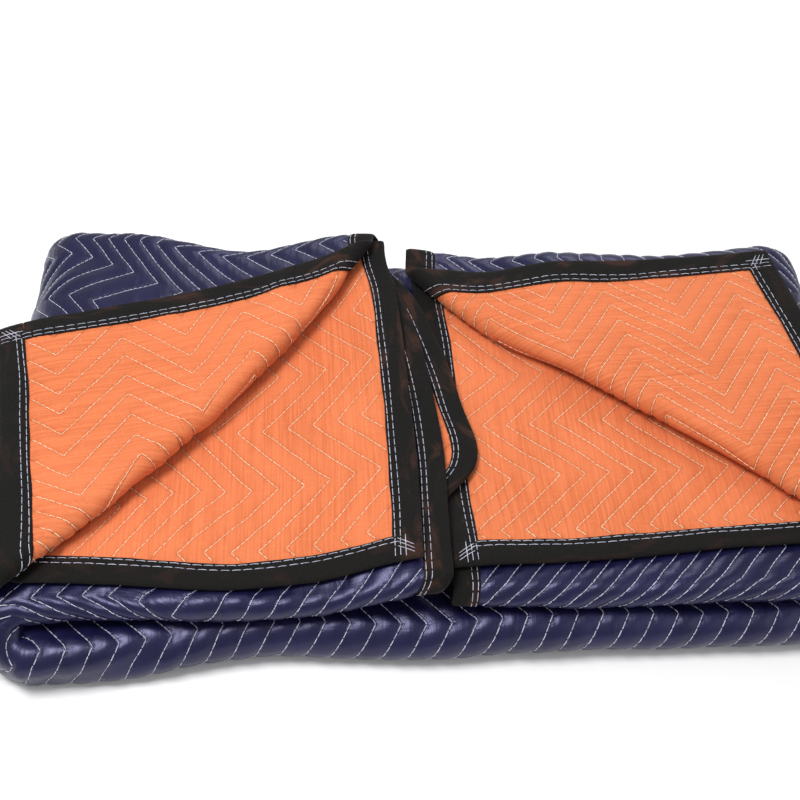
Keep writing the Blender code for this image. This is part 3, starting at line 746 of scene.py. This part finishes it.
class Finish:
    """One material: its shader, its nodes, and the maps that it reads."""

    def __init__(self, name, roughness, sheen=0.0, gloss=0.5):
        self.material = bpy.data.materials.new(name)
        self.material.use_nodes = True
        self.tree = self.material.node_tree
        self.shader = self.tree.nodes["Principled BSDF"]
        self.shader.inputs["Roughness"].default_value = roughness
        self.shader.inputs["Sheen Weight"].default_value = sheen
        self.shader.inputs["Specular IOR Level"].default_value = gloss

    def feed(self, socket, value):
        if isinstance(value, Value):
            self.tree.links.new(value.socket, socket)
        elif isinstance(value, tuple) and socket.type == "RGBA":
            socket.default_value = (*value, 1)
        else:
            socket.default_value = value

    def node(self, kind, settings, values, output=0):
        """Makes a node from its type, its settings, and its sockets' values or links."""
        node = self.tree.nodes.new("ShaderNode" + kind)
        for name, setting in settings.items():
            setattr(node, name, setting)
        for name, value in values.items():
            self.feed(node.inputs[name], value)
        return Value(self, node.outputs[output])

    def set(self, **values):
        for name, value in values.items():
            self.feed(self.shader.inputs[name.replace("_", " ").title()], value)

    def map(self, name):
        """The two values of one of the cloth's own maps."""
        found = self.node("UVMap", {"uv_map": name}, {})
        return [self.node("SeparateXYZ", {}, {0: found}, k) for k in (0, 1)]

    def noise(self, across, along, detail=3.0, roughness=0.55, distortion=0.0):
        """Noise from two values already in the noise's own scale, from 0 to 1."""
        place_at = self.node("CombineXYZ", {}, {0: across, 1: along})
        values = {"Vector": place_at, "Scale": 1.0, "Detail": detail}
        values |= {"Roughness": roughness, "Distortion": distortion}
        return self.node("TexNoise", {"noise_dimensions": "2D"}, values)

    def mixed(self, share, first, second):
        """Two colours mixed."""
        return self.node("Mix", {"data_type": "RGBA"}, {0: share, 6: first, 7: second}, 2)

    def raised(self, height, distance, strength=1.0):
        """Feeds a height in 0 to 1, times a distance in metres, to the surface's normal."""
        values = {"Strength": strength, "Distance": distance, "Height": height}
        self.feed(self.shader.inputs["Normal"], self.node("Bump", {}, values))


def quilt_marks(finish):
    """The cloth's map, and how near a quilt line a place lies, from 0 between lines to 1."""
    u, v = finish.map("flat")
    p, q = finish.map("quilt")
    from_line = abs(p % 1 - 0.5)
    near = from_line.eased(0.30, 0.5)
    return u, v, p, q, from_line, near


def puckers(finish, p, q):
    """Small folds that run out from a quilt line, square to it."""
    leaning = p * 1.1 + abs(q % 2 - 1) * 5
    return finish.noise(q * 26 + leaning, p * 1.3, 2.0, 0.6, 0.4)


def navy_satin():
    """Dark navy satin: smooth threads along one way, with crinkles that catch the light."""
    finish = Finish("navy_cloth", roughness=0.38, sheen=0.03, gloss=0.60)
    u, v, p, q, from_line, near = quilt_marks(finish)
    crinkle = finish.noise(u * 130, v * 22, 2.0, 0.5, 0.3)
    wide = finish.noise(u * 36, v * 9, 2.0, 0.5, 0.4)
    pucker = puckers(finish, p, q)
    thread = finish.noise(u * 1500, v * 60, 1.0, 0.5)
    line = from_line.eased(0.44, 0.5)
    folds = crinkle * 0.26 + wide * 0.95 + pucker * (near * 0.6 + 0.1)
    height = folds + thread * 0.03 - line * 0.22
    finish.raised(height, 1.5 * MM)
    deep, pale = (0.0032, 0.0030, 0.022), (0.0056, 0.0052, 0.034)
    tone = finish.mixed(wide.eased(0.3, 0.7), deep, pale)
    tone = finish.mixed(thread * 0.35, tone, (0.011, 0.011, 0.052))
    # Painted shade: the navy is darkened along each quilt line, where its groove lies in shadow.
    tone = finish.mixed(line * 0.55, tone, (0.005, 0.005, 0.018))
    finish.set(base_color=tone, roughness=crinkle * 0.14 + 0.28)
    finish.shader.inputs["Sheen Tint"].default_value = (0.45, 0.45, 0.9, 1)
    finish.shader.inputs["Specular Tint"].default_value = (0.66, 0.64, 1.0, 1)
    return finish.material


def orange_cotton():
    """Orange plain cloth: fine streaks along the threads, slubs, and puckers at the quilt lines."""
    finish = Finish("orange_cloth", roughness=0.78, sheen=0.12, gloss=0.22)
    u, v, p, q, from_line, near = quilt_marks(finish)
    streak = finish.noise(u * 420, v * 9, 3.0, 0.6)
    slub = finish.noise(u * 95, v * 260, 2.0, 0.6)
    cloud = finish.noise(u * 9, v * 7, 3.0, 0.5)
    pucker = puckers(finish, p, q)
    wave = finish.noise(u * 30, v * 13, 2.0, 0.5, 0.5)
    line = from_line.eased(0.43, 0.5)
    turns = 2 * np.pi / ORANGE_WEAVE
    across = finish.node("Math", {"operation": "SINE"}, {0: u * turns})
    along = finish.node("Math", {"operation": "SINE"}, {0: v * turns})
    weave = across * along * 0.5 + 0.5
    folds = streak * 0.20 + pucker * (near * 0.75 + 0.15) + wave * 1.1
    height = folds + weave * 0.03 - line * 0.30
    finish.raised(height, 2.2 * MM)
    tone = finish.mixed(streak.eased(0.25, 0.75), (0.60, 0.140, 0.046), (0.73, 0.200, 0.076))
    tone = finish.mixed(cloud.eased(0.35, 0.75) * 0.5, tone, (0.77, 0.215, 0.086))
    tone = finish.mixed(slub.eased(0.55, 0.8) * 0.25, tone, (0.82, 0.28, 0.13))
    # Painted shade: the orange is darkened along each quilt line, where its groove lies in shadow.
    tone = finish.mixed(line * 0.45, tone, (0.42, 0.080, 0.022))
    finish.set(base_color=tone, roughness=streak * 0.12 + 0.70)
    finish.shader.inputs["Sheen Tint"].default_value = (1.0, 0.62, 0.38, 1)
    return finish.material


def black_tape():
    """Black cotton tape, worn brown in patches, with a fine twill and small creases across."""
    finish = Finish("binding_cloth", roughness=0.82, sheen=0.03, gloss=0.14)
    u, v = finish.map("flat")
    # The tape runs along v at the two ends, and along u elsewhere.
    inner_edge = BLANKET_LENGTH / 2 - BINDING_WIDTH
    at_end = abs(u).eased(inner_edge - 2 * MM, inner_edge)
    along = finish.node("Mix", {"data_type": "FLOAT"}, {0: at_end, 2: u, 3: v})
    across = finish.node("Mix", {"data_type": "FLOAT"}, {0: at_end, 2: v, 3: u})
    slanting = (along + across) * (2 * np.pi / TAPE_TWILL)
    twill = finish.node("Math", {"operation": "SINE"}, {0: slanting})
    crinkle = finish.noise(along * 120, across * 22, 3.0, 0.6, 0.4)
    patch = finish.noise(along * 17, across * 42, 3.0, 0.6, 0.5)
    fleck = finish.noise(along * 700, across * 700, 2.0, 0.6)
    finish.raised(crinkle * 0.9 + twill * 0.05 + fleck * 0.22, 1.1 * MM)
    brown = patch.eased(0.50, 0.74) * (fleck * 0.7 + 0.35)
    black, worn = (0.0060, 0.0056, 0.0052), (0.066, 0.026, 0.016)
    tone = finish.mixed(brown * (at_end * 0.55 + 0.25), black, worn)
    tone = finish.mixed(fleck.eased(0.5, 0.8) * 0.45, tone, (0.024, 0.022, 0.021))
    finish.set(base_color=tone)
    return finish.material


def sewing_thread(name, light, dark, roughness):
    """Thread whose tone varies a little from stitch to stitch."""
    finish = Finish(name, roughness, gloss=0.35)
    spot = finish.node("TexCoord", {}, {}, 3)
    patch = finish.node("TexNoise", {}, {"Vector": spot, "Scale": 150.0, "Detail": 2.0})
    finish.set(base_color=finish.mixed(patch.eased(0.3, 0.7), dark, light))
    return finish.material


def floor_paint():
    """The pale floor's plain paint."""
    finish = Finish("pale_floor", roughness=0.9, gloss=0.0)
    finish.set(base_color=(0.93, 0.93, 0.93))
    return finish.material


def main():
    navy, orange, tape = navy_satin(), orange_cotton(), black_tape()
    white = sewing_thread("white_thread", (0.66, 0.67, 0.78), (0.36, 0.37, 0.47), 0.5)
    cream = sewing_thread("cream_thread", (0.96, 0.78, 0.56), (0.84, 0.50, 0.28), 0.6)

    face = cloth_panel("navy_quilted_face", 1, navy)
    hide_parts("navy_face_panel")
    backing = cloth_panel("orange_quilted_backing", -1, orange)
    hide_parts("orange_backing_panel")
    for node, long_edge, high in (
        ("first_edge_binding", True, False),
        ("last_edge_binding", True, True),
        ("left_end_binding", False, False),
        ("right_end_binding", False, True),
    ):
        strip = edge_binding(node.replace("binding", "tape"), long_edge, high, tape)
        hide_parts(node)
    stitch_curve("navy_quilt_thread", quilt_stitches(1, on_navy), THREAD * 1.15, white)
    stitch_curve("orange_quilt_thread", quilt_stitches(-1, on_orange), THREAD * 1.1, cream)
    stitch_curve("binding_thread", edge_stitches(), THREAD, white)

    stage_scene()


LIGHTS = (
    # name, where it stands, size, power
    ("key_light", (-0.8, -0.3, 2.3), 0.9, 44),
    ("fill_light", (1.8, -1.2, 1.4), 2.0, 10),
    ("back_light", (0.5, 2.0, 1.8), 1.2, 16),
)
LIT_PLACE = (0, 0, 0.05)
ROOM_LIGHT = 0.48
FLOOR_HALF = 6
CAMERA_PLACE = (-0.065, -0.731, 1.160)  # in the fold's own x and y
CAMERA_YAW, CAMERA_DOWN = np.radians(2), np.radians(48)
FOCAL_PIXELS, PICTURE_PIXELS, SENSOR_WIDTH = 1300, 800, 36


def stage_scene():
    """The pale floor, the soft lights and the camera."""
    body = bmesh.new()
    bmesh.ops.create_grid(body, x_segments=1, y_segments=1, size=FLOOR_HALF)
    mesh = bpy.data.meshes.new("pale_floor")
    body.to_mesh(mesh)
    body.free()
    mesh.materials.append(floor_paint())
    floor = bpy.data.objects.new("pale_floor", mesh)
    bpy.context.collection.objects.link(floor)

    world = bpy.data.worlds.new("soft_room")
    world.use_nodes = True
    world.node_tree.nodes["Background"].inputs["Color"].default_value = (1, 1, 1, 1)
    world.node_tree.nodes["Background"].inputs["Strength"].default_value = ROOM_LIGHT
    bpy.context.scene.world = world

    for name, place_at, size, power in LIGHTS:
        light = bpy.data.lights.new(name, "AREA")
        light.size = size
        light.energy = power
        lamp = bpy.data.objects.new(name, light)
        lamp.location = place_at
        towards = Vector(LIT_PLACE) - Vector(place_at)
        lamp.rotation_euler = towards.to_track_quat("-Z", "Y").to_euler()
        bpy.context.collection.objects.link(lamp)

    camera = bpy.data.cameras.new("photo_camera")
    camera.sensor_width = SENSOR_WIDTH
    camera.lens = FOCAL_PIXELS / PICTURE_PIXELS * SENSOR_WIDTH
    bpy.context.scene.view_settings.view_transform = "Standard"
    eye = bpy.data.objects.new("photo_camera", camera)
    x, y, z = CAMERA_PLACE
    eye.location = (x - STACK_MIDDLE[0], y - STACK_MIDDLE[1], z)
    yaw, down = CAMERA_YAW, CAMERA_DOWN
    forward = Vector((np.sin(yaw) * np.cos(down), np.cos(yaw) * np.cos(down), -np.sin(down)))
    eye.rotation_euler = forward.to_track_quat("-Z", "Y").to_euler()
    bpy.context.collection.objects.link(eye)
    bpy.context.scene.camera = eye


main()
